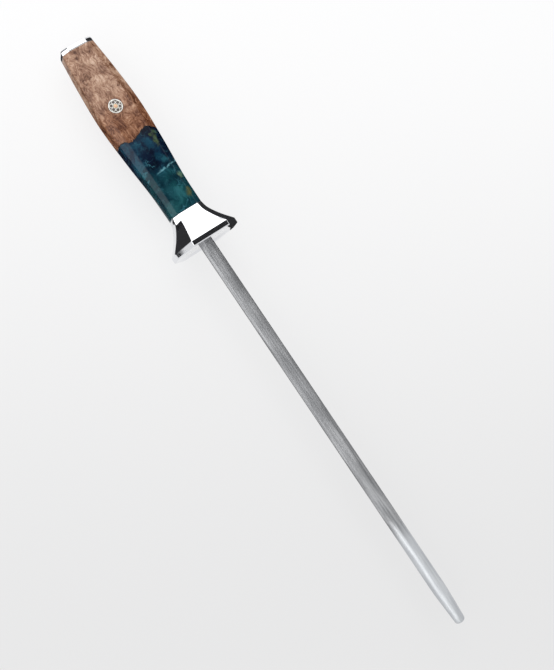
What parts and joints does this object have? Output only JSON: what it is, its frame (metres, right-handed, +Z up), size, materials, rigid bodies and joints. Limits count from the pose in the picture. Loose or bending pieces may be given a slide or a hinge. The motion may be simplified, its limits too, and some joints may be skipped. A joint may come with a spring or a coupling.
{
  "type": "knife sharpening steel",
  "caption": "Ribbed round honing rod with a flared octagonal guard, a faceted handle of cast resin and burl wood with a mosaic pin, and a polished end cap.",
  "frame": {"origin": "on the rod's axis, in the face of the guard that the rod leaves", "axes": "+X along the rod towards its tip, +Z up out of the handle's front facet, Y across the handle"},
  "size_m": [0.3799, 0.04, 0.0352],
  "materials": {
    "rod_steel": "satin, ground lengthwise",
    "polished_steel": "mirror polished",
    "cast_resin": "polished, swirled blue and green",
    "burl_wood": "stabilised burl, sealed and buffed",
    "epoxy": "cured",
    "hardware_steel": "plain",
    "nickel_silver": "ground flush and polished",
    "pin_brass": "ground flush and polished",
    "pin_copper": "ground flush and polished",
    "pin_resin": "ground flush and polished"
  },
  "bodies": {
    "root": {"honing_rod": "rod_steel", "guard": "polished_steel", "end_cap": "polished_steel", "resin_section": "cast_resin", "burl_section": "burl_wood", "tang_bedding": "epoxy", "tang_washer": "hardware_steel", "tang_nut": "hardware_steel", "guard_dowels": "hardware_steel", "cap_dowels": "hardware_steel", "pin_tube": "nickel_silver", "pin_petal_tubes": "nickel_silver", "pin_centre_tube": "pin_brass", "pin_centre_rod": "pin_copper", "pin_filler": "pin_resin"}
  },
  "joints": []
}
